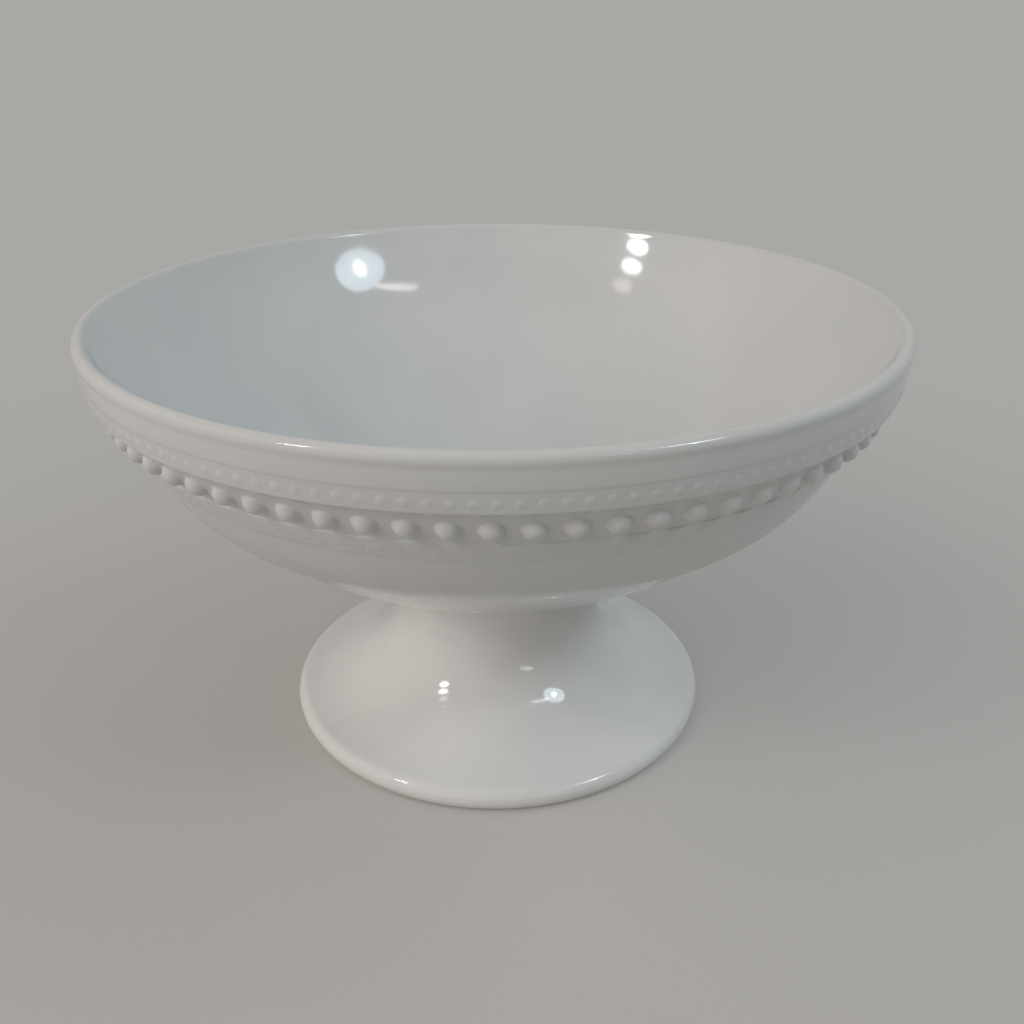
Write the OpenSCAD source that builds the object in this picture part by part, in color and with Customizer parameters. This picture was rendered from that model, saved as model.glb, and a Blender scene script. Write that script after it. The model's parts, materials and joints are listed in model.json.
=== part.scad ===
// Footed compote bowl in glazed white ceramic.
// A wide bowl with a rolled lip and a beaded collar is stuck with slip to a hollow trumpet foot.
// The origin is the centre of the standing ring, on the table, and Z is the axis of turning.

/* [Bowl] */
// Widest diameter, across the lip
rim_d = 249; // [210:1:300]
// Height of the bowl, from its flat seat to the top of the lip
bowl_h = 84; // [70:0.5:110]
// Thickness of the bowl's wall and floor
wall = 6; // [4:0.1:8]
// Thickness of the rolled lip
lip_t = 4.4; // [3.4:0.1:5.2]
// How much thicker the wall is half way up the inside
wall_swell = 1.3; // [0:0.1:2.5]
// Diameter of the flat seat under the bowl
seat_d = 72; // [66:1:90]
// Diameter at which the level seat would meet the line of the belly
belly_d = 118; // [100:1:140]
// How far in from the foot of the collar the belly's line would meet the shoulder's
shoulder_in = 5.8; // [3:0.1:9]
// How far below the foot of the collar that meeting lies
shoulder_drop = 12; // [8:0.1:18]

/* [Foot] */
// Height of the foot, from the table to the top of its neck
foot_h = 58; // [45:0.5:80]
// Widest diameter of the foot, across its rounded edge
foot_d = 144.4; // [115:0.2:180]
// Diameter of the neck
neck_d = 60; // [46:0.5:62]
// Straight height of the neck, above the flare
neck_straight = 6; // [5:0.1:14]
// Thickness of the foot's wall at the neck
foot_wall = 6; // [4:0.1:9]
// Thickness of the foot's rounded edge
edge_t = 7.8; // [6:0.1:11]
// How much of the rounded edge is rubbed flat where the foot stands
edge_rub = 0.4; // [0.2:0.05:0.8]
// Width of the dry standing ring
ring_w = 6.5; // [4:0.1:9]
// Height of the standing ring, inside the hollow
ring_h = 2.2; // [1:0.1:4]

/* [Slip joint] */
// Thickness of the slip between the neck and the seat
slip_t = 0.5; // [0.3:0.05:1]
// Radius of the cove that the slip is smoothed to, round the neck
cove_r = 4.6; // [3:0.1:5]

/* [Collar] */
// Height from the top of the lip to the faint groove under it
groove_drop = 3.9; // [3.7:0.1:5]
// Depth of that groove, from the widest diameter
groove_in = 0.45; // [0.4:0.05:1.2]
// Height of each flank of the groove
groove_flank = 0.5; // [0.3:0.05:0.8]
// How far in from the widest diameter the smooth band starts
band_in = 0.4; // [0.3:0.05:1]
// Height of the smooth band
band_h = 4.5; // [3:0.1:8]
// How far the band leans in from its top to its bottom
band_lean = 0.4; // [0:0.05:0.8]
// How far the middle of the band stands out past its straight line
band_crown = 0.15; // [0.1:0.05:0.8]
// Depth of the faint ledges under the band and at the foot of the collar
ledge_in = 0.3; // [0.2:0.05:0.9]
// Height of the faint ledges
ledge_h = 0.4; // [0.2:0.05:0.8]
// Height of the land that carries the upper seed beads
upper_land_h = 5.6; // [4.4:0.1:8]
// How far that land leans in
upper_land_lean = 0.75; // [0.2:0.05:1.5]
// Depth of the deep ledge over the pearls
channel_in = 2.2; // [1.4:0.05:3]
// Height of the deep ledge
channel_h = 1.2; // [0.6:0.05:2]
// Height of the land that carries the pearls
pearl_land_h = 10; // [8.4:0.1:13]
// How far that land leans in
pearl_land_lean = 6.3; // [4:0.05:8]
// How far the shelf under the pearls stands out
shelf_out = 0.2; // [0.1:0.05:0.6]
// Height of that shelf
shelf_h = 0.3; // [0.2:0.05:0.6]
// Height of the land that carries the lower seed beads
lower_land_h = 6.2; // [4.4:0.1:8]
// How far that land leans in
lower_land_lean = 3.5; // [2:0.05:5]

/* [Beads] */
// Number of pearls round the collar; the seed beads are two to a pearl
pearls = 77; // [40:1:77]
// Width of a pearl where it meets its land
pearl_w = 6; // [5.8:0.1:9.2]
// How far a pearl stands proud of its land
pearl_proud = 2.9; // [1.8:0.1:3]
// Width of an upper seed bead
upper_seed_w = 3.8; // [2.8:0.1:4]
// How far an upper seed bead stands proud
upper_seed_proud = 0.75; // [0.7:0.05:1.2]
// Width of a lower seed bead
lower_seed_w = 3.6; // [2.6:0.1:3.8]
// How far a lower seed bead stands proud
lower_seed_proud = 0.6; // [0.6:0.05:1]

/* [Hidden] */
$fn = 192;
bead_fn = 64;
curve_steps = 20;
roll_steps = 14;
glaze = [0.93, 0.93, 0.91];
slip = [0.90, 0.89, 0.86];

// Share of the belly's line at which the curve of the base gives way to that of the shoulder
base_share = 0.86;
// Share of that line at which the wall is thickest
swell_share = 0.72;
// Angle below level at which the lip's roll ends over the groove
roll_end = -25;
// Slope of the inside where it runs into the lip
rim_slope = 66.5;

// Radii and heights that several pieces share
rim_r = rim_d / 2;
lip_r = lip_t / 2;
seat_z = foot_h + slip_t;
top_z = seat_z + bowl_h;
neck_r = neck_d / 2;

// Points of an arc, and of a curve that is tangent to a-b and b-c
function arc(centre, r, from, to, steps) =
    [for (i = [0 : steps]) let (a = from + (to - from) * i / steps)
        centre + r * [cos(a), sin(a)]];
function bend(a, b, c) =
    [for (i = [0 : curve_steps]) let (t = i / curve_steps)
        (1 - t) * (1 - t) * a + 2 * t * (1 - t) * b + t * t * c];
function backwards(points) = [for (i = [len(points) - 1 : -1 : 0]) points[i]];
function all_but_last(points) = [for (i = [0 : len(points) - 2]) points[i]];

// Outline of the collar, from the groove under the lip down to the collar's foot
groove = [rim_r - groove_in, top_z - groove_drop];
band_top = [rim_r - band_in, groove[1] - groove_flank];
band_low = band_top - [band_lean, band_h];
band_mid = (band_top + band_low) / 2 + [2 * band_crown, 0];
upper_land_top = band_low - [ledge_in, ledge_h];
upper_land_low = upper_land_top - [upper_land_lean, upper_land_h];
pearl_land_top = upper_land_low - [channel_in, channel_h];
pearl_land_low = pearl_land_top - [pearl_land_lean, pearl_land_h];
lower_land_top = pearl_land_low + [shelf_out, -shelf_h];
lower_land_low = lower_land_top - [lower_land_lean, lower_land_h];
collar_foot = lower_land_low - [ledge_in, ledge_h];

// Outline of the bowl's underside, from the seat up to the collar's foot
seat_edge = [seat_d / 2, seat_z];
belly_from = [belly_d / 2, seat_z];
shoulder = collar_foot - [shoulder_in, shoulder_drop];
base_end = belly_from + base_share * (shoulder - belly_from);
underside = concat(
    all_but_last(bend(seat_edge, belly_from, base_end)),
    bend(base_end, shoulder, collar_foot));

// The lip's roll, and the inside's two curves, which meet on one slope and run into the roll
lip_centre = [rim_r - lip_r, top_z - lip_r];
lip_from = lip_centre + lip_r * [-sin(rim_slope), cos(rim_slope)];
floor_z = seat_z + wall;
belly_run = shoulder - belly_from;
belly_across = [-belly_run[1], belly_run[0]] / norm(belly_run);
swell = belly_from + swell_share * belly_run + (wall + wall_swell) * belly_across;
to_lip = lip_from - swell;
swell_slope = 2 * atan2(to_lip[1], to_lip[0]) - rim_slope;
swell_reach = norm(to_lip) / (2 * cos((rim_slope - swell_slope) / 2));
inner_corner = swell + swell_reach * [cos(swell_slope), sin(swell_slope)];
floor_corner = [swell[0] - (swell[1] - floor_z) / tan(swell_slope), floor_z];
inside = concat(
    all_but_last(bend([seat_d / 2, floor_z], floor_corner, swell)),
    bend(swell, inner_corner, lip_from));

// Outline of the foot: a rounded edge, and a flare tangent to it and to the neck
edge_r = edge_t / 2;
edge_centre = [foot_d / 2 - edge_r, edge_r - edge_rub];
flare_z = foot_h - neck_straight;
flare_run = edge_centre[0] - neck_r;
flare_rise = flare_z - edge_centre[1];
flare_r = (flare_run * flare_run + flare_rise * flare_rise - edge_r * edge_r)
    / (2 * (flare_run + edge_r));
flare_centre = [neck_r + flare_r, flare_z];
flare_end = atan2(edge_centre[1] - flare_z, edge_centre[0] - flare_centre[0]) + 360;

// The hollow under the foot, an arc from the neck's bore to the standing ring
ring_out = edge_centre[0] + sqrt(edge_r * edge_r - edge_centre[1] * edge_centre[1]);
ring_in = ring_out - ring_w;
bore_r = neck_r - foot_wall;
hollow_run = ring_in - bore_r;
hollow_rise = flare_z - ring_h;
hollow_r = (hollow_run * hollow_run + hollow_rise * hollow_rise) / (2 * hollow_run);
hollow_centre = [bore_r + hollow_r, flare_z];
hollow_end = atan2(-hollow_rise, ring_in - hollow_centre[0]) + 360;

module bowl() {
    color(glaze) rotate_extrude() polygon(concat(
        [[0, seat_z]],
        underside,
        [lower_land_low, lower_land_top, pearl_land_low, pearl_land_top],
        [upper_land_low, upper_land_top],
        bend(band_low, band_mid, band_top),
        [groove],
        all_but_last(arc(lip_centre, lip_r, roll_end, rim_slope + 90, roll_steps)),
        backwards(inside),
        [[0, floor_z]]
    ));
}

module foot() {
    color(glaze) rotate_extrude() polygon(concat(
        [[bore_r, foot_h], [neck_r, foot_h]],
        arc(flare_centre, flare_r, 180, flare_end, curve_steps),
        arc(edge_centre, edge_r, flare_end - 180, asin(-edge_centre[1] / edge_r), roll_steps),
        [[ring_in, 0]],
        arc(hollow_centre, hollow_r, hollow_end, 180, curve_steps)
    ));
}

// The slip fills the joint and is smoothed to a cove between the neck and the seat
module luting_ring() {
    color(slip) rotate_extrude() polygon(concat(
        [[bore_r, foot_h], [neck_r, foot_h]],
        arc([neck_r + cove_r, seat_z - cove_r], cove_r, 180, 90, roll_steps),
        [[bore_r, seat_z]]
    ));
}

// One round bead, which stands proud of the level z = 0 and is flat under it
module bead(width, proud) {
    bead_r = (width * width / 4 + proud * proud) / (2 * proud);
    intersection() {
        translate([0, 0, proud - bead_r]) sphere(r = bead_r, $fn = bead_fn);
        translate([-bead_r, -bead_r, 0]) cube([2 * bead_r, 2 * bead_r, bead_r]);
    }
}

// A ring of beads that sit flat on the land between two points of the collar's outline
module bead_row(count, land_top, land_low, width, proud) {
    slope = atan2(land_top[1] - land_low[1], land_top[0] - land_low[0]);
    middle = (land_top + land_low) / 2;
    for (i = [0 : count - 1])
        rotate([0, 0, (i + 0.5) * 360 / count])
            translate([middle[0], 0, middle[1]])
                rotate([0, 180 - slope, 0])
                    bead(width, proud);
}

module pearl_row() {
    color(glaze) bead_row(pearls, pearl_land_top, pearl_land_low, pearl_w, pearl_proud);
}

module seed_row_upper() {
    color(glaze) bead_row(2 * pearls, upper_land_top, upper_land_low,
        upper_seed_w, upper_seed_proud);
}

module seed_row_lower() {
    color(glaze) bead_row(2 * pearls, lower_land_top, lower_land_low,
        lower_seed_w, lower_seed_proud);
}

bowl();
foot();
luting_ring();
pearl_row();
seed_row_upper();
seed_row_lower();
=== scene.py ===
# %% [markdown]
# A footed compote bowl in glazed white ceramic.
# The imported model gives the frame: six pieces at their real size, with the table at z = 0 and the
# axis of turning on Z. This lesson dresses each of them: the pieces are turned again with finer
# outlines, because a kiln rounds every edge that a drawing leaves sharp, and then they are glazed.

# %% Load the frame
import json
import math

import bmesh
import bpy
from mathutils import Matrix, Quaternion, Vector


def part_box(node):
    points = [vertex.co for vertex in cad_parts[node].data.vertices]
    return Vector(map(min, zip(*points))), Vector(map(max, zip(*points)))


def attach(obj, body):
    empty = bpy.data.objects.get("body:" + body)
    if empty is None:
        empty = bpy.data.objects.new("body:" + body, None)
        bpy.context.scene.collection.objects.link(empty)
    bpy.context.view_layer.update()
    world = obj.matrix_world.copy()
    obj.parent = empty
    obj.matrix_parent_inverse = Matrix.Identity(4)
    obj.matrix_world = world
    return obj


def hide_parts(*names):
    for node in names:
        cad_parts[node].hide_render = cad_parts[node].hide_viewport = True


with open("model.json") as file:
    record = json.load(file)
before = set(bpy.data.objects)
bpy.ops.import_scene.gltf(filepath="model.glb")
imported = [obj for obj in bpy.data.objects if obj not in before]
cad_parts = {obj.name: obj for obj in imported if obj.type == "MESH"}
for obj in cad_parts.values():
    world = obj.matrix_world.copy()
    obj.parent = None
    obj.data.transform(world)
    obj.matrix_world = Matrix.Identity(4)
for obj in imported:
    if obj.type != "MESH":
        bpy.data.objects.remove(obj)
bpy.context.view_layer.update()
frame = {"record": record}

MM = 0.001

# %% [markdown]
# The bowl's sizes come from the frame where it has them: the rim, the top and the seat. The rest
# can't be read off a box, so they are written here in millimetres, and the lip's two angles in
# degrees, as a maker would note them on the template that the bowl is turned with.

# %% Sizes of the bowl, in millimetres
bowl_low, bowl_high = (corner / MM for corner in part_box("bowl"))
RIM_R, TOP_Z, SEAT_Z = bowl_high.x, bowl_high.z, bowl_low.z

SEAT_R = 36
BELLY_R = 59
WALL, WALL_SWELL = 6, 1.3
LIP_R = 2.2
LIP_START, RIM_SLOPE = -12, 68
SHOULDER_IN, SHOULDER_DROP = 5.8, 12
BASE_SHARE, SWELL_SHARE = 0.86, 0.72
print("rim radius", round(RIM_R, 2), "top", round(TOP_Z, 2), "seat", round(SEAT_Z, 2))

# %% [markdown]
# The collar steps in from the lip to the belly: a groove, a smooth band, a land for the upper
# seeds, a deep ledge, a land for the pearls, a shelf and a land for the lower seeds. Each step is
# written as how far it goes in and down from the one above it, so that one change moves the rest.


# %% Corners of the collar, from the lip down
def step_from(point, inwards, down):
    return (point[0] - inwards, point[1] - down)


GROOVE = step_from((RIM_R, TOP_Z), inwards=0.34, down=3.9)
BAND_TOP = step_from(GROOVE, inwards=0.06, down=0.5)
BAND_LOW = step_from(BAND_TOP, inwards=0.4, down=4.5)
UPPER_TOP = step_from(BAND_LOW, inwards=0.2, down=0.45)
UPPER_LOW = step_from(UPPER_TOP, inwards=0.85, down=5.55)
PEARL_TOP = step_from(UPPER_LOW, inwards=2.2, down=1.2)
PEARL_LOW = step_from(PEARL_TOP, inwards=6.3, down=10)
LOWER_TOP = step_from(PEARL_LOW, inwards=-0.2, down=0.3)
LOWER_LOW = step_from(LOWER_TOP, inwards=3.5, down=6.2)
COLLAR_FOOT = step_from(LOWER_LOW, inwards=0.3, down=0.4)
print("the collar is", round(TOP_Z - COLLAR_FOOT[1], 1), "mm tall")

# %% [markdown]
# A turned outline is made of straight runs, arcs, and bends that leave one line and join another.
# Small functions give their points. The bend is the curve that a draughtsman draws between two
# lines so that it touches both of them.


# %% Runs, arcs and bends
def share_of(start, end, share):
    return tuple(a + (b - a) * share for a, b in zip(start, end))


def run(start, end, pieces):
    return [share_of(start, end, i / pieces) for i in range(pieces + 1)]


def arc(centre, radius, first, last, pieces):
    angles = [math.radians(first + (last - first) * i / pieces) for i in range(pieces + 1)]
    return [(centre[0] + radius * math.cos(a), centre[1] + radius * math.sin(a)) for a in angles]


def bend(start, corner, end, pieces):
    def place_at(t):
        return tuple((1 - t) ** 2 * a + 2 * t * (1 - t) * b + t * t * c
                     for a, b, c in zip(start, corner, end))

    return [place_at(i / pieces) for i in range(pieces + 1)]


print("half way along a bend round a square corner:", bend((0, 0), (10, 0), (10, 10), pieces=2)[1])

# %% [markdown]
# Blender's operators act on whatever is selected, and the frame's own pieces are selected after
# loading. So each piece starts by deselecting everything. The outline is drawn the way one draws
# with a pen: a plane is merged to a single point, which is then extruded from place to place.
# Sharp corners are picked out by their place and softened with a small bevel, as glaze would.
# Everything is deselected there too, or the bevel would also cut the corners softened before.

# %% Draw an outline by hand
SAME_PLACE = 0.01 * MM


def start_point(name, place):
    bpy.ops.object.select_all(action="DESELECT")
    bpy.ops.mesh.primitive_plane_add(size=MM, location=(place[0] * MM, 0, place[1] * MM))
    bpy.context.object.name = bpy.context.object.data.name = name
    bpy.ops.object.mode_set(mode="EDIT")
    bpy.ops.mesh.select_all(action="SELECT")
    bpy.ops.mesh.merge(type="CENTER")
    return bpy.context.object


def draw_to(start, end):
    move = ((end[0] - start[0]) * MM, 0, (end[1] - start[1]) * MM)
    bpy.ops.mesh.extrude_vertices_move(TRANSFORM_OT_translate={"value": move})


def soften(piece, corners, width):
    bpy.ops.mesh.select_all(action="DESELECT")
    bpy.ops.object.mode_set(mode="OBJECT")
    places = [Vector((x * MM, 0, z * MM)) for x, z in corners]
    for vertex in piece.data.vertices:
        at = piece.matrix_world @ vertex.co
        vertex.select = any((at - place).length < SAME_PLACE for place in places)
    bpy.ops.object.mode_set(mode="EDIT")
    bpy.ops.mesh.bevel(affect="VERTICES", offset=width * MM, segments=3)


# %% [markdown]
# Spinning the outline round Z makes the wall, as a wheel does. The first and last rings fall on
# each other, and the points on the axis fall together, so doubles are merged. Only then are the
# normals recalculated, because a spin can turn a shape inside out. A closed piece has exactly two
# faces at every edge, so its open edges are counted and should come to none.


# %% Spin an outline into a closed piece
def count_open_edges(piece):
    mesh = bmesh.new()
    mesh.from_mesh(piece.data)
    found = sum(len(edge.link_faces) != 2 for edge in mesh.edges)
    mesh.free()
    return found


def spin_round(piece, steps):
    bpy.ops.mesh.select_all(action="SELECT")
    bpy.ops.mesh.spin(steps=steps, angle=2 * math.pi, center=(0, 0, 0), axis=(0, 0, 1))
    bpy.ops.mesh.select_all(action="SELECT")
    bpy.ops.mesh.remove_doubles(threshold=0.002 * MM)
    bpy.ops.mesh.normals_make_consistent(inside=False)
    bpy.ops.object.mode_set(mode="OBJECT")
    bpy.ops.object.transform_apply(location=True, rotation=True, scale=True)
    bpy.ops.object.shade_smooth_by_angle(angle=math.radians(50))
    faces, open_edges = len(piece.data.polygons), count_open_edges(piece)
    print(piece.name, "has", faces, "faces and", open_edges, "open edges")


def turn(name, outline, steps, softened=()):
    piece = start_point(name, outline[0])
    for start, end in zip(outline, outline[1:]):
        draw_to(start, end)
    for corners, width in softened:
        soften(piece, corners, width)
    spin_round(piece, steps)
    return piece


# %% [markdown]
# The bowl. On the real one the outside is a shallow curve that tightens into the shoulder under
# the collar. It could be modelled from a sphere, but only a turned outline holds the collar's
# fine steps. The belly's line runs from where it would meet the level seat to where it would meet
# the shoulder, and one bend rounds each of those two corners.

# %% Underside of the bowl, from the seat to the foot of the collar
shoulder = step_from(COLLAR_FOOT, inwards=SHOULDER_IN, down=SHOULDER_DROP)
seat_edge, belly = (SEAT_R, SEAT_Z), (BELLY_R, SEAT_Z)
base_end = share_of(belly, shoulder, BASE_SHARE)
underside = bend(seat_edge, belly, base_end, pieces=36)[:-1]
underside += bend(base_end, shoulder, COLLAR_FOOT, pieces=28)
print("the underside has", len(underside), "points")

# %% [markdown]
# The inside is two long curves that meet on one slope, half way up, where the wall is thickest,
# and go on curving all the way to the lip. A straight wall there would stretch every reflection
# into a streak. The slope at the meeting is worked out so that the upper curve is a fair one: it
# leaves the meeting and reaches the lip at the same angle to the line between them.

# %% Inside of the bowl, from its floor to the lip
floor_z, rim_angle = SEAT_Z + WALL, math.radians(RIM_SLOPE)
lip_centre = (RIM_R - LIP_R, TOP_Z - LIP_R)
lip_from = (lip_centre[0] - LIP_R * math.sin(rim_angle), lip_centre[1] + LIP_R * math.cos(rim_angle))

belly_line = Vector(shoulder) - Vector(belly)
across = Vector((-belly_line.y, belly_line.x)).normalized() * (WALL + WALL_SWELL)
swell = tuple(Vector(share_of(belly, shoulder, SWELL_SHARE)) + across)
to_lip = Vector(lip_from) - Vector(swell)
swell_angle = 2 * math.atan2(to_lip.y, to_lip.x) - rim_angle
reach = to_lip.length / (2 * math.cos((rim_angle - swell_angle) / 2))

inner_corner = (swell[0] + reach * math.cos(swell_angle), swell[1] + reach * math.sin(swell_angle))
floor_corner = (swell[0] - (swell[1] - floor_z) / math.tan(swell_angle), floor_z)
inside = bend((SEAT_R, floor_z), floor_corner, swell, pieces=36)[:-1]
inside += bend(swell, inner_corner, lip_from, pieces=40)
print("the wall is", round(across.length, 1), "mm half way up, and the inside slopes at",
      round(math.degrees(swell_angle)), "degrees there")

# %% [markdown]
# The whole outline goes up the outside, over the rolled lip and down the inside to the axis. The
# smooth band under the lip swells a little in its middle, as the real one does.

# %% Outline of the whole bowl
BAND_CROWN = 0.15
band_mid = step_from(share_of(BAND_TOP, BAND_LOW, 0.5), inwards=-BAND_CROWN, down=0)
lip = arc(lip_centre, LIP_R, LIP_START, RIM_SLOPE + 90, pieces=28)
bowl_outline = (
    run((0, SEAT_Z), seat_edge, pieces=6)[:-1]
    + underside
    + [LOWER_LOW, LOWER_TOP, PEARL_LOW, PEARL_TOP, UPPER_LOW, UPPER_TOP]
    + bend(BAND_LOW, band_mid, BAND_TOP, pieces=10)
    + [GROOVE]
    + lip[:-1]
    + inside[::-1]
    + run((SEAT_R, floor_z), (0, floor_z), pieces=8)[1:]
)
print("the bowl's outline has", len(bowl_outline), "points")

# %% [markdown]
# Glaze rounds a step more where it can pool. So the faint steps keep a small radius, the shelf
# under the pearls a smaller one that fits its height, and the deep ledge over them a wide one.

# %% Turn the bowl
fine_corners = [BAND_TOP, GROOVE, COLLAR_FOOT, LOWER_LOW, UPPER_TOP, BAND_LOW]
shelf_corners, ledge_corners = [LOWER_TOP, PEARL_LOW], [PEARL_TOP, UPPER_LOW]
FINE_SOFT, SHELF_SOFT, LEDGE_SOFT = 0.22, 0.17, 0.6
bowl_corners = [(fine_corners, FINE_SOFT), (shelf_corners, SHELF_SOFT), (ledge_corners, LEDGE_SOFT)]
bowl = turn("bowl_glazed", bowl_outline, steps=288, softened=bowl_corners)

# %% [markdown]
# The foot is a hollow trumpet, so it is turned too. Its height, its width and its neck are read
# from the frame. The neck's radius is what the ring of slip round it leaves inside its cove.

# %% Sizes of the foot, in millimetres
foot_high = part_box("foot")[1] / MM
slip_low, slip_high = (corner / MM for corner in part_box("luting_ring"))
FOOT_R, FOOT_H = foot_high.x, foot_high.z
COVE_R = SEAT_Z - slip_low.z
NECK_R = slip_high.x - COVE_R

NECK_STRAIGHT, NECK_WALL = 6, 6
EDGE_R, EDGE_RUB = 3.9, 0.4
RING_W, RING_H = 6.5, 2.2
FOOT_SOFT = 0.35
print("neck radius", round(NECK_R, 2), "cove", round(COVE_R, 2), "foot radius", round(FOOT_R, 2))

# %% [markdown]
# The flare is one arc, tangent to the straight neck above and to the rounded edge below. Its
# radius follows from that. The ring that the foot stands on is wiped clean of glaze before firing
# and rubbed flat, so the edge's circle is cut a little above its lowest point.

# %% Flare and edge of the foot
flare_z = FOOT_H - NECK_STRAIGHT
edge_centre = (FOOT_R - EDGE_R, EDGE_R - EDGE_RUB)
flare_run, flare_rise = edge_centre[0] - NECK_R, flare_z - edge_centre[1]
flare_r = (flare_run**2 + flare_rise**2 - EDGE_R**2) / (2 * (flare_run + EDGE_R))
flare_centre = (NECK_R + flare_r, flare_z)
flare_end = math.degrees(math.atan2(-flare_rise, edge_centre[0] - flare_centre[0])) + 360
edge_stop = -math.degrees(math.asin(edge_centre[1] / EDGE_R))
flare = arc(flare_centre, flare_r, 180, flare_end, pieces=48)
edge = arc(edge_centre, EDGE_R, flare_end - 180, edge_stop, pieces=20)
print("the flare's radius is", round(flare_r, 1), "mm")

# %% [markdown]
# The hollow inside is a second arc, from the straight bore of the neck to the top of the standing
# ring. On the real foot it can't be seen, but it shows as soon as the bowl is lifted.

# %% Hollow of the foot, and the whole foot
ring_out = edge_centre[0] + math.sqrt(EDGE_R**2 - edge_centre[1] ** 2)
ring_in, bore_r = ring_out - RING_W, NECK_R - NECK_WALL
hollow_run, hollow_rise = ring_in - bore_r, flare_z - RING_H
hollow_r = (hollow_run**2 + hollow_rise**2) / (2 * hollow_run)
hollow_centre = (bore_r + hollow_r, flare_z)
hollow_end = math.degrees(math.atan2(-hollow_rise, ring_in - hollow_centre[0])) + 360
hollow = arc(hollow_centre, hollow_r, hollow_end, 180, pieces=40)
print("the hollow's radius is", round(hollow_r, 1), "mm")

neck_top = run((bore_r, FOOT_H), (NECK_R, FOOT_H), pieces=2)
foot_outline = neck_top + flare + edge[1:] + [(ring_in, 0)] + hollow + [(bore_r, FOOT_H)]
ring_corners = [(ring_out, 0), (ring_in, 0), (ring_in, RING_H)]
foot = turn("foot_glazed", foot_outline, steps=256, softened=[(ring_corners, FOOT_SOFT)])

# %% [markdown]
# The bowl and the foot are made apart and stuck together with slip, which is pressed out of the
# joint and smoothed round it with a wet finger. That leaves a cove, which is an arc tangent to
# the neck and to the seat. It is a thin ring of its own, so that it can be glazed thicker.

# %% Turn the luting ring
cove = arc((NECK_R + COVE_R, SEAT_Z - COVE_R), COVE_R, 180, 90, pieces=18)
luting_outline = [(bore_r, FOOT_H), (NECK_R, FOOT_H)] + cove + [(bore_r, SEAT_Z), (bore_r, FOOT_H)]
luting_ring = turn("luting_ring_glazed", luting_outline, steps=192)

# %% [markdown]
# The beads. Each is a dome whose foot runs out into the wall where glaze has filled the angle.
# It could be a sphere sunk in the wall, but that leaves a sharp ring round every bead. Here the
# bead's half outline is a fillet and then a dome that is tangent to it, given as rings.


# %% Rings of one bead
def bead_rings(width, proud, fillet, sunk, fillet_rings, dome_rings):
    """(radius, height) of each ring, from the sunk foot to the crown, in millimetres."""
    foot_r = width / 2
    dome_r = (foot_r**2 + proud**2 - 2 * fillet * proud) / (2 * proud)
    crown_z = proud - dome_r
    steep = math.degrees(math.atan2(foot_r, fillet - crown_z))
    rings = [(foot_r, -sunk)]
    rings += arc((foot_r, fillet), fillet, 270, 270 - steep, fillet_rings)
    rings += arc((0, crown_z), dome_r, 90 - steep, 90, dome_rings)[1:]
    return rings


pearl_rings = bead_rings(width=7.2, proud=2.3, fillet=0.6, sunk=0.3, fillet_rings=4, dome_rings=9)
upper_rings = bead_rings(width=3.0, proud=0.18, fillet=0.8, sunk=0.25, fillet_rings=2, dome_rings=3)
lower_rings = bead_rings(width=2.8, proud=0.12, fillet=1.0, sunk=0.25, fillet_rings=2, dome_rings=3)
print("a pearl has", len(pearl_rings), "rings and a seed", len(upper_rings))

# %% [markdown]
# A disc lies on the middle of the bead's land, turned to face straight out of it. It is then
# raised and drawn in, ring by ring, as those rings say, and its last ring is merged to the crown.


# %% Raise one bead
def raise_bead(name, land_top, land_low, rings, sides):
    middle = share_of(land_top, land_low, 0.5)
    land = Vector((land_top[0] - land_low[0], 0, land_top[1] - land_low[1])).normalized()
    out = Vector((land.z, 0, -land.x))
    base = Vector((middle[0], 0, middle[1]))
    radius, height = rings[0]
    bpy.ops.object.select_all(action="DESELECT")
    bpy.ops.mesh.primitive_circle_add(
        vertices=sides, radius=radius * MM, fill_type="NGON",
        location=(base + out * height) * MM, rotation=(0, math.atan2(out.x, out.z), 0))
    bpy.context.object.name = bpy.context.object.data.name = name
    bpy.ops.object.mode_set(mode="EDIT")
    bpy.ops.mesh.select_all(action="SELECT")
    for next_radius, next_height in rings[1:-1]:
        rise = out * (next_height - height) * MM
        bpy.ops.mesh.extrude_region_move(TRANSFORM_OT_translate={"value": rise})
        centre = (base + out * next_height) * MM
        bpy.ops.transform.resize(value=(next_radius / radius,) * 3, center_override=centre)
        radius, height = next_radius, next_height
    last_rise = out * (rings[-1][1] - height) * MM
    bpy.ops.mesh.extrude_region_move(TRANSFORM_OT_translate={"value": last_rise})
    bpy.ops.mesh.merge(type="CENTER")
    return bpy.context.object


# %% [markdown]
# The finished bead is copied round the axis with a duplicating spin. First it is turned by a
# share of the beads' spacing, so that the row starts where the real one does. Without a window
# that operator turns the other way, and needs to be told the centre.


# %% Copy one bead round the collar
def ring_of(piece, count, phase=0.5):
    bpy.ops.mesh.select_all(action="SELECT")
    bpy.ops.mesh.normals_make_consistent(inside=False)
    spacing = 2 * math.pi / count
    bpy.ops.transform.rotate(value=-spacing * phase, orient_axis="Z", center_override=(0, 0, 0))
    bpy.ops.mesh.spin(
        steps=count - 1, dupli=True, angle=spacing * (count - 1), center=(0, 0, 0), axis=(0, 0, 1))
    bpy.ops.object.mode_set(mode="OBJECT")
    bpy.ops.object.transform_apply(location=True, rotation=True, scale=True)
    bpy.ops.object.shade_smooth_by_angle(angle=math.radians(60))
    print(piece.name, "has", count, "beads and", count_open_edges(piece), "open edges")
    return piece


# %% [markdown]
# There are 77 pearls, and two seeds to each pearl in the rows above and below. The seeds are
# almost drowned in the glaze, so they are low and need few sides.

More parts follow.
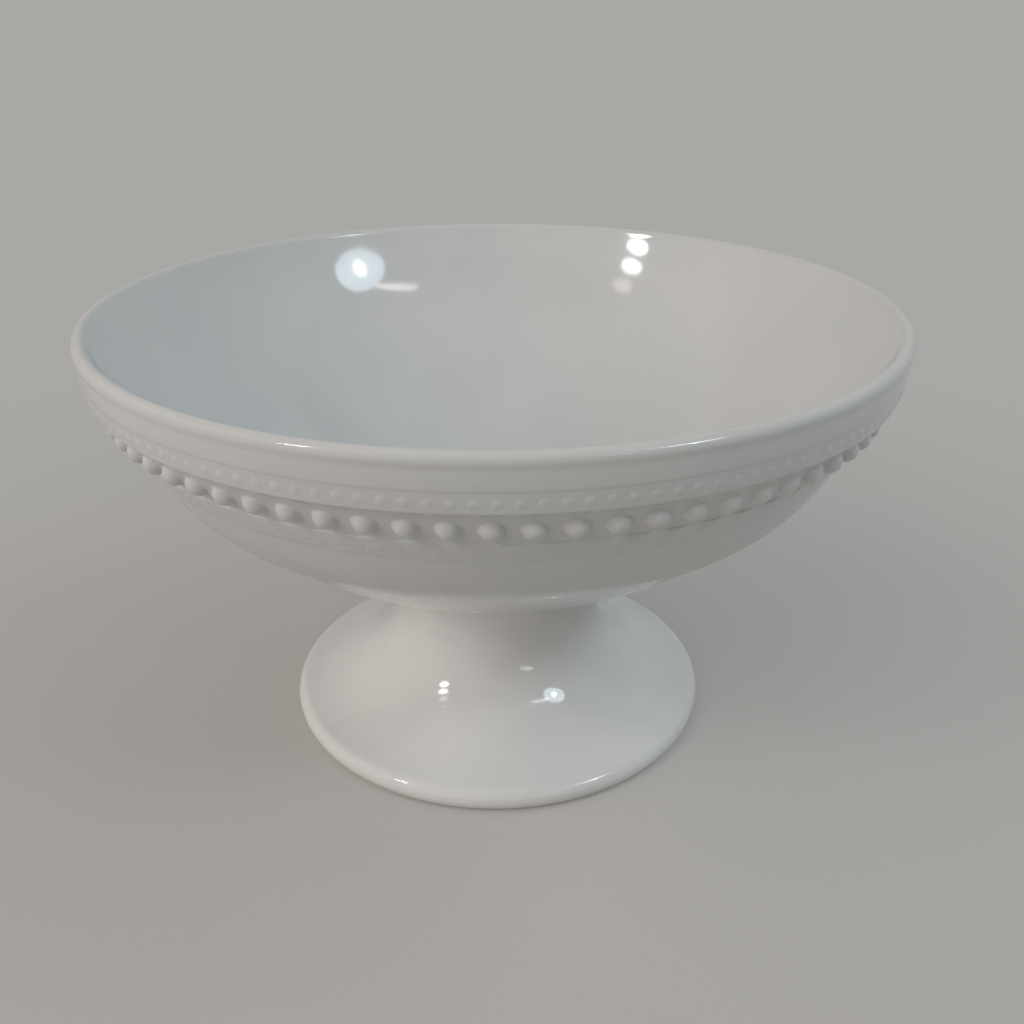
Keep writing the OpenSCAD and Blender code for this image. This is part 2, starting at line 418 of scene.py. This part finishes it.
# %% Raise the pearls and the two rows of seeds
PEARLS = 77
SEEDS = 2 * PEARLS
pearl = raise_bead("pearl_row_glazed", PEARL_TOP, PEARL_LOW, pearl_rings, sides=24)
pearl_row = ring_of(pearl, PEARLS, phase=0.62)

seed_above = raise_bead("seed_row_upper_glazed", UPPER_TOP, UPPER_LOW, upper_rings, sides=10)
seeds_above = ring_of(seed_above, SEEDS)

seed_below = raise_bead("seed_row_lower_glazed", LOWER_TOP, LOWER_LOW, lower_rings, sides=10)
seeds_below = ring_of(seed_below, SEEDS)

# %% [markdown]
# Every dressed piece rides on the one body, stands for its node, and takes its finish from the
# slot that the record names for that node.

# %% Tie the pieces to the frame
slots = {row["node"]: row["material_slot"] for row in frame["record"]["subparts"]}
dressed = {
    "bowl": bowl,
    "foot": foot,
    "luting_ring": luting_ring,
    "pearl_row": pearl_row,
    "seed_row_upper": seeds_above,
    "seed_row_lower": seeds_below,
}
for node, piece in dressed.items():
    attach(piece, "root")
    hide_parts(node)
print("dressed", len(dressed), "pieces")

# %% [markdown]
# Finishes are built from shader nodes. Written one node at a time they are hard to read, so a
# small class wraps a socket: adding or multiplying two of them adds the Math node that does it,
# and one method makes any other node from its settings and the values or links of its sockets.


# %% A socket that does sums
class Shade:
    def __init__(self, tree, socket):
        self.tree, self.socket = tree, socket

    def node(self, kind, settings=None, output=0, **inputs):
        made = self.tree.nodes.new(kind)
        for key, value in (settings or {}).items():
            setattr(made, key, value)
        for key, value in inputs.items():
            socket = self.pick(made, key)
            if isinstance(value, Shade):
                self.tree.links.new(value.socket, socket)
            else:
                socket.default_value = value
        return Shade(self.tree, made.outputs[output])

    @staticmethod
    def pick(made, key):
        wanted = key.replace("_", " ").lower()
        if wanted.startswith("at "):
            return made.inputs[int(wanted[3:])]
        return next(s for s in made.inputs if s.enabled and s.name.lower() == wanted)

    def sum_with(self, operation, first, second=None):
        given = {"at_0": first} if second is None else {"at_0": first, "at_1": second}
        return self.node("ShaderNodeMath", {"operation": operation}, **given)

    def __add__(self, other):
        return self.sum_with("ADD", self, other)

    def __radd__(self, other):
        return self.sum_with("ADD", other, self)

    def __sub__(self, other):
        return self.sum_with("SUBTRACT", self, other)

    def __rsub__(self, other):
        return self.sum_with("SUBTRACT", other, self)

    def __mul__(self, other):
        return self.sum_with("MULTIPLY", self, other)

    def __rmul__(self, other):
        return self.sum_with("MULTIPLY", other, self)

    def __truediv__(self, other):
        return self.sum_with("DIVIDE", self, other)

    def __pow__(self, other):
        return self.sum_with("POWER", self, other)

    def between(self, low, high, to_low=0.0, to_high=1.0):
        return self.node("ShaderNodeMapRange", {"interpolation_type": "SMOOTHSTEP"}, Value=self,
                         From_Min=low, From_Max=high, To_Min=to_low, To_Max=to_high)


# %% [markdown]
# A Math node would turn a colour grey, so colours go through a Mix node instead. Its mask says
# how much of the second colour shows.


# %% Blend two colours
def blend_colours(mask, first, second):
    first, second = (c if isinstance(c, Shade) else (*c, 1) for c in (first, second))
    return mask.node("ShaderNodeMix", {"data_type": "RGBA"}, output=2, at_0=mask, at_6=first, at_7=second)


# %% [markdown]
# A finish starts with the place on the piece, in metres, from its own Object coordinates. Because
# every piece has its place in its mesh, one pattern runs unbroken from the bowl over the cove and
# down the foot, as one dip of glaze does. Height and distance from the axis come from it too.


# %% Start a finish
def new_finish(name):
    material = bpy.data.materials.new(name)
    material.use_nodes = True
    start = Shade(material.node_tree, None)
    place = start.node("ShaderNodeTexCoord", output=3)
    parts = place.node("ShaderNodeSeparateXYZ", Vector=place)
    x, y, z = (Shade(place.tree, socket) for socket in parts.socket.node.outputs)
    radius = (x * x + y * y) ** 0.5
    return material, place, radius, z


def noise(place, size_mm, detail=2.0, roughness=0.5):
    return place.node("ShaderNodeTexNoise", Vector=place, Scale=1 / (size_mm * MM), Detail=detail,
                      Roughness=roughness)


def feed(material, socket_name, value):
    shader = material.node_tree.nodes["Principled BSDF"]
    material.node_tree.links.new(value.socket, shader.inputs[socket_name])


# %% [markdown]
# White glaze is a sheet of clear glass over a white body. It is never one colour: it pools, cool
# and faintly green, in every groove, thins to a warmer cream on edges, and clouds a little where
# it lay thicker in the dip. The darker colours also paint shade: on the outside, under the
# collar's steps and on the lip. The bare body is a sandy cream, and a pinhole shows it dark. The
# shares say how strongly each of these shows over the glaze's own white.

# %% Colours of the glaze and the bare body
GLAZE = (0.680, 0.688, 0.680)
# Painted light: the foot and the joint get a whiter glaze than the bowl.
FOOT_GLAZE_PAINTED_LIGHTER = (0.768, 0.772, 0.762)
# Darker and greener: thicker glaze in the clouds, and painted shade on the outside and at the steps.
THICK_GLAZE_AND_SHADE = (0.592, 0.617, 0.610)
# Warmer and darker: thin glaze on the lip, which also paints shade there.
THIN_GLAZE_AND_SHADE = (0.665, 0.648, 0.615)
BARE_BODY = (0.640, 0.600, 0.530)
DUSTY_BODY = (0.52, 0.48, 0.42)
SPECK = (0.260, 0.225, 0.185)

CLOUD_SHARE, OUTSIDE_SHADE_SHARE, MOTTLE_SHARE, POOL_AND_SHADE_SHARE = 0.35, 0.6, 0.10, 0.55
LIP_THIN_AND_SHADE_SHARE, PIT_SHARE, DUST_SHARE = 0.5, 0.45, 0.5
print("thick glaze is darker than thin by", round((sum(THIN_GLAZE_AND_SHADE) - sum(THICK_GLAZE_AND_SHADE)) / 3, 3))

# %% [markdown]
# Glaze runs down and gathers at each step of the collar, and shade falls there under each step, so
# the pools are soft darker stripes at those heights: pooled glaze and painted shade. The same
# heights exist inside the bowl, where there is no step. A line through the middle of the wall
# tells the two faces apart: what is further from the axis is outside.

# %% Where glaze pools and thins on the lip, with painted shade at both
WALL_LEAN = 0.5
POOL_AND_SHADE_STRIPES = [(BAND_LOW[1] - 0.2, 0.5), (PEARL_TOP[1] + 0.1, 0.9), (PEARL_LOW[1], 0.6), (COLLAR_FOOT[1], 0.6)]
LIP_THINS, LIP_THINNEST = TOP_Z - 1.2, TOP_Z - 0.1


def stripe(value, centre_mm, width_mm):
    away = (value - centre_mm * MM) / (width_mm * MM)
    fall = away * away * -1.0
    return fall.sum_with("EXPONENT", fall)


def glaze_masks(radius, z):
    middle_of_wall = (z - COLLAR_FOOT[1] * MM) * WALL_LEAN + (COLLAR_FOOT[0] - WALL / 2) * MM
    outside = (radius - middle_of_wall).between(0, MM)
    pooled_and_shaded = sum(stripe(z, height, width) for height, width in POOL_AND_SHADE_STRIPES) * outside
    thinned_and_shaded = z.between(LIP_THINS * MM, LIP_THINNEST * MM)
    return outside, pooled_and_shaded, thinned_and_shaded


# %% [markdown]
# A few pinholes stay where gas came out of the body in the kiln. Cells of about one size fill the
# space round the piece, each with a random colour that never changes, and only the few cells
# whose colour is highest have a pinhole at their middle.

# %% Pinholes
PIT_CELL_MM = 11
PITTED_CELLS = (0.90, 0.905)
PIT_IN_CELL = (0.012, 0.034)


def pinholes(place):
    cells = place.node("ShaderNodeTexVoronoi", Vector=place, Scale=1 / (PIT_CELL_MM * MM))
    cell_colour = Shade(place.tree, cells.socket.node.outputs[1])
    drawn = cell_colour.node("ShaderNodeSeparateColor", Color=cell_colour)
    return (1 - cells.between(*PIT_IN_CELL)) * drawn.between(*PITTED_CELLS)


print("a pinhole is at most", round(2 * PIT_IN_CELL[1] * PIT_CELL_MM, 1), "mm wide")

# %% [markdown]
# The colour is built up in layers over the white: clouds of thicker glaze, painted shade on the
# outside, a fine mottle, the pools with painted shade at the steps, the thin lip with painted
# shade, and last the pinholes. Each layer is one blend by a mask.


# %% Colour of the glaze
def glaze_colour(place, radius, z, pit, white, outside_shade, pool_and_shade_share):
    outside, pooled_and_shaded, thinned_and_shaded = glaze_masks(radius, z)
    clouds = noise(place, size_mm=55, detail=3.0).between(0.32, 0.68)
    mottle = noise(place, size_mm=9, detail=4.0, roughness=0.6).between(0.3, 0.7)
    colour = blend_colours(clouds * CLOUD_SHARE, white, THICK_GLAZE_AND_SHADE)
    # Painted shade: the whole outside is darkened, as it faces away from the light.
    colour = blend_colours(outside * outside_shade, colour, THICK_GLAZE_AND_SHADE)
    colour = blend_colours(mottle * MOTTLE_SHARE, colour, THIN_GLAZE_AND_SHADE)
    # Painted shade under the collar's steps, on top of the glaze pooled there.
    colour = blend_colours(pooled_and_shaded * pool_and_shade_share, colour, THICK_GLAZE_AND_SHADE)
    # Painted shade on the lip's top, together with the thinner, warmer glaze there.
    colour = blend_colours(thinned_and_shaded * LIP_THIN_AND_SHADE_SHARE, colour, THIN_GLAZE_AND_SHADE)
    return blend_colours(pit * PIT_SHARE, colour, SPECK)


# %% [markdown]
# The surface has broad soft waves, which bend each reflection, and a very fine orange peel. Both
# are real heights in millimetres. The glaze shines, but a little less in some places, and each
# pinhole is dull and sunk.

# %% Relief and roughness of the glaze
WAVE_HEIGHT, PEEL_HEIGHT, PIT_DEPTH = 0.09, 0.0008, 0.05
SHINIEST, DULLEST, PIT_DULLER = 0.05, 0.09, 0.3


def glaze_relief(place, pit):
    waves = noise(place, size_mm=30, detail=1.0)
    peel = noise(place, size_mm=2.4, detail=1.0)
    return waves * WAVE_HEIGHT + peel * PEEL_HEIGHT - pit * PIT_DEPTH


def glaze_roughness(place, pit, softer):
    patches = noise(place, size_mm=18, detail=3.0)
    return patches.between(0.3, 0.7, SHINIEST, DULLEST) + softer + pit * PIT_DULLER


# %% [markdown]
# The standing ring is wiped before the kiln, so it is matt, sandy and bare, with a ragged edge
# where the sponge stopped. The edge is a change from 0 to 1 over half a millimetre of height, and
# noise pushes it up and down only while it changes.

# %% The dry ring under the foot
DRY_BELOW, GLAZED_ABOVE = 0.55, 1.05
RING_STARTS, RING_FULL = ring_in - 0.6, ring_in - 0.2
RAGGED = 0.35
BARE_ROUGH, GRIT_HEIGHT = 0.72, 0.02


def bare_ring(place, radius, z):
    wiped = 1 - z.between(DRY_BELOW * MM, GLAZED_ABOVE * MM)
    ragged = noise(place, size_mm=3.2, detail=4.0).between(0.35, 0.65, -RAGGED, RAGGED)
    on_ring = radius.between(RING_STARTS * MM, RING_FULL * MM)
    return ((wiped + ragged * wiped * (1 - wiped) * 4) * on_ring).between(0.45, 0.55)


def add_bare_ring(place, radius, z, colour, rough, relief):
    bare = bare_ring(place, radius, z)
    grit = noise(place, size_mm=0.9, detail=6.0, roughness=0.7)
    dusty = blend_colours(grit.between(0.35, 0.7) * DUST_SHARE, BARE_BODY, DUSTY_BODY)
    colour = blend_colours(bare, colour, dusty)
    return colour, rough + bare * (BARE_ROUGH - rough), relief + bare * grit * GRIT_HEIGHT


# %% [markdown]
# One function makes each finish from these parts. The outside of the bowl is painted a little
# darker than its inside in the colour of thicker glaze: painted shade, as the outside faces away
# from the light. The foot and the joint are painted whiter, which paints in light, and have none
# of that shade. The beads stand up out of the glaze, so they are less pooled and shaded, and
# softer in their shine.

# %% Glaze every piece
GLASS_IOR = 1.52


def glaze(name, white=GLAZE, outside_shade=OUTSIDE_SHADE_SHARE, pool_and_shade_share=POOL_AND_SHADE_SHARE, softer=0.0, dry_ring=False):
    material, place, radius, z = new_finish(name)
    pit = pinholes(place)
    colour = glaze_colour(place, radius, z, pit, white, outside_shade, pool_and_shade_share)
    rough, relief = glaze_roughness(place, pit, softer), glaze_relief(place, pit)
    if dry_ring:
        colour, rough, relief = add_bare_ring(place, radius, z, colour, rough, relief)
    feed(material, "Base Color", colour)
    feed(material, "Roughness", rough)
    feed(material, "Normal", relief.node("ShaderNodeBump", Strength=1.0, Distance=MM, Height=relief))
    material.node_tree.nodes["Principled BSDF"].inputs["IOR"].default_value = GLASS_IOR
    return material


finishes = {
    "bowl_glaze": glaze("bowl_glaze"),
    # The foot and the joint are painted whiter, which paints in light.
    "foot_glaze": glaze("foot_glaze", white=FOOT_GLAZE_PAINTED_LIGHTER, outside_shade=0.0, dry_ring=True),
    "joint_glaze": glaze("joint_glaze", white=FOOT_GLAZE_PAINTED_LIGHTER, outside_shade=0.0),
    "bead_glaze": glaze("bead_glaze", pool_and_shade_share=0.8 * POOL_AND_SHADE_SHARE, softer=0.16),
}
for node, piece in dressed.items():
    piece.data.materials.clear()
    piece.data.materials.append(finishes[slots[node]])
print("glazed with", sorted(finishes))

# %% [markdown]
# The stage is a pale round floor that sweeps up into a wall far behind, all the way round, so
# that no edge shows from any side and the glaze has something even to reflect. It is turned like
# the bowl, from an outline in millimetres. It isn't closed, so it does have open edges: one
# round of them, at its top.

# %% Floor and backdrop
FLOOR_R, SWEEP_R, WALL_TOP = 1900, 700, 2400
sweep = arc((FLOOR_R, SWEEP_R), SWEEP_R, 270, 360, pieces=16)
stage_outline = run((0, 0), (FLOOR_R, 0), pieces=12)[:-1] + sweep + [(FLOOR_R + SWEEP_R, WALL_TOP)]
stage = turn("pale_stage", stage_outline, steps=96)

# %% [markdown]
# The floor is matt, with a very fine grain and slow changes between two pale colours, so that it
# isn't dead flat in the picture. The bowl's shadow falls on it as it would on any floor, and the
# backdrop's glow then paints some light into that shadow.

# %% Finish of the floor
FLOOR, FLOOR_PALER = (0.54, 0.512, 0.490), (0.565, 0.538, 0.518)
backing, backing_place, backing_radius, _ = new_finish("pale_backdrop")
grain = noise(backing_place, size_mm=2.2, detail=3.0)
drifts = noise(backing_place, size_mm=190, detail=2.0)
feed(backing, "Base Color", blend_colours(drifts.between(0.3, 0.7), FLOOR, FLOOR_PALER))
feed(backing, "Normal", grain.node("ShaderNodeBump", Strength=0.25, Distance=0.3 * MM, Height=grain))
backing_shader = backing.node_tree.nodes["Principled BSDF"]
backing_shader.inputs["Roughness"].default_value = 0.9
backing_shader.inputs["Specular IOR Level"].default_value = 0.2
print("the floor's two colours differ by", round(FLOOR_PALER[0] - FLOOR[0], 3))

# %% [markdown]
# Far off, the backdrop has one pale colour of its own to the camera and in reflections, so that
# the background stays even without more light on the bowl. It comes in gradually from the middle
# of the floor outwards: near the bowl only a little of it shows, and that is painted light which
# lightens the bowl's shadow on the floor.

# %% Colour of the backdrop
WALL_SEEN = (0.395, 0.389, 0.376)
BACKDROP_FROM, BACKDROP_FULL = -0.12, 0.48
rays = backing_place.node("ShaderNodeLightPath")
kinds = ("Is Camera Ray", "Is Glossy Ray", "Is Transmission Ray")
shows_wall = sum(Shade(backing.node_tree, rays.socket.node.outputs[kind]) for kind in kinds)
# Near the bowl this glow is painted light that lightens the bowl's shadow on the floor.
glow_share_lifting_shadow = backing_radius.between(BACKDROP_FROM, BACKDROP_FULL)
glow = rays.node("ShaderNodeEmission", Color=(*WALL_SEEN, 1), Strength=1.0)
lit = Shade(backing.node_tree, backing_shader.outputs[0])
mixed = rays.node("ShaderNodeMixShader", at_0=shows_wall * glow_share_lifting_shadow, at_1=lit, at_2=glow)
backing.node_tree.links.new(mixed.socket, backing.node_tree.nodes["Material Output"].inputs["Surface"])
stage.data.materials.append(backing)
print("the backdrop is full from", BACKDROP_FULL, "m out")

# %% [markdown]
# The light is soft and plain, at a level at which a colour renders about as it is written. It
# comes low from both sides, as in a room with windows: warm on the left, and cooler on the right.
# A lamp is placed by its direction and distance from the middle of the bowl. One with a height
# is an ellipse, which can be tilted about the line towards the bowl.

# %% A lamp
AIM = Vector((0, 0, 80 * MM))


def lamp(name, azimuth, elevation, away, size, watts, colour, glints=False, height=None, tilt=0):
    turn_angle, climb = math.radians(azimuth), math.radians(elevation)
    level = math.cos(climb)
    towards = Vector((math.sin(turn_angle) * level, -math.cos(turn_angle) * level, math.sin(climb)))
    data = bpy.data.lights.new(name, "AREA")
    data.shape = "ELLIPSE" if height else "DISK"
    data.size, data.energy, data.color = size, watts, colour
    if height:
        data.size_y = height
    made = bpy.data.objects.new(name, data)
    made.location = AIM + towards * away
    level_with = (-towards).to_track_quat("-Z", "Y")
    made.rotation_euler = (Quaternion(towards, math.radians(tilt)) @ level_with).to_euler()
    made.visible_glossy, made.visible_camera = glints, False
    bpy.context.scene.collection.objects.link(made)


# %% [markdown]
# The broad lamps are left out of reflections, because a glossy bowl would show them as hard
# shapes. Three stand in front and at the sides, and a weak one behind lights the far rim.

# %% Broad lamps
WARM, COOL, NEUTRAL, BLUE = (1.0, 0.915, 0.855), (0.83, 0.935, 1.0), (1.0, 1.0, 1.0), (0.72, 0.88, 1.0)
NEAR, FAR = 1.5, 2.4
lamp("left_wash", -78, 30, away=NEAR, size=1.5, watts=7.7, colour=WARM)
lamp("left_front", -36, 30, away=NEAR, size=0.9, watts=4.9, colour=WARM)
lamp("right_wash", 100, 40, away=NEAR, size=0.9, watts=5.6, colour=COOL)
lamp("behind", 170, 42, away=NEAR, size=1.4, watts=1.8, colour=NEUTRAL)
print("broad lamps:", len(bpy.data.lights))

# %% [markdown]
# Smaller ones do show: three bulbs one above the other on the left, and on the right a bluish
# window with a bulb in front of it, and two tubes. They give the glaze the points of light by
# which the eye knows that it is glossy.


# %% Lamps that show in the glaze
def glint(name, azimuth, elevation, away=FAR, **settings):
    lamp(name, azimuth, elevation, away, glints=True, **settings)


glint("left_bulb_low", -55.5, 35, size=0.30, height=0.15, watts=3.0, colour=NEUTRAL)
glint("left_bulb_high", -56.5, 39.9, size=0.30, height=0.15, watts=2.0, colour=NEUTRAL)
glint("left_bulb_dim", -57, 45, size=0.28, height=0.15, watts=0.45, colour=WARM)
glint("right_window", 57.5, 42, away=NEAR, size=0.42, height=0.27, watts=2.3, colour=BLUE)
glint("right_bulb", 57.5, 41.5, away=NEAR, size=0.09, watts=0.45, colour=NEUTRAL)
glint("right_tube", 45, 48, size=0.55, height=0.08, tilt=-18, watts=0.9, colour=NEUTRAL)
glint("right_tube_low", 30, 25, size=0.55, height=0.12, watts=0.8, colour=NEUTRAL)
print("lamps in all:", len(bpy.data.lights))

# %% [markdown]
# A faint even light from the room fills the shadows, and colours are shown as they are.

# %% Light of the room
world = bpy.data.worlds.new("soft_room")
world.use_nodes = True
room = world.node_tree.nodes["Background"].inputs
room["Color"].default_value = (0.97, 0.98, 1.0, 1)
room["Strength"].default_value = 0.13
bpy.context.scene.world = world
bpy.context.scene.view_settings.view_transform = "Standard"
print("the room's own light has strength", round(room["Strength"].default_value, 2))

# %% [markdown]
# The camera stands where the photograph was taken from, a little above the rim and close by, so
# that the near lip swings below the far one. Its focal length is worked out for a square frame.

# %% Camera
FOCAL_PIXELS, FRAME_PIXELS, SENSOR_MM = 1050, 1024, 36
CAMERA_PLACE = (0, -0.3233, 0.2266)
CAMERA_TILT, CAMERA_TURN = 63.95, -0.912
camera_data = bpy.data.cameras.new("photo_view")
camera_data.sensor_width = SENSOR_MM
camera_data.lens = FOCAL_PIXELS / FRAME_PIXELS * SENSOR_MM
camera_data.clip_start, camera_data.clip_end = 0.01, 20
camera = bpy.data.objects.new("photo_view", camera_data)
camera.location = CAMERA_PLACE
camera.rotation_euler = (math.radians(CAMERA_TILT), 0, math.radians(CAMERA_TURN))
bpy.context.scene.collection.objects.link(camera)
bpy.context.scene.camera = camera
print("the lens is", round(camera_data.lens, 1), "mm")
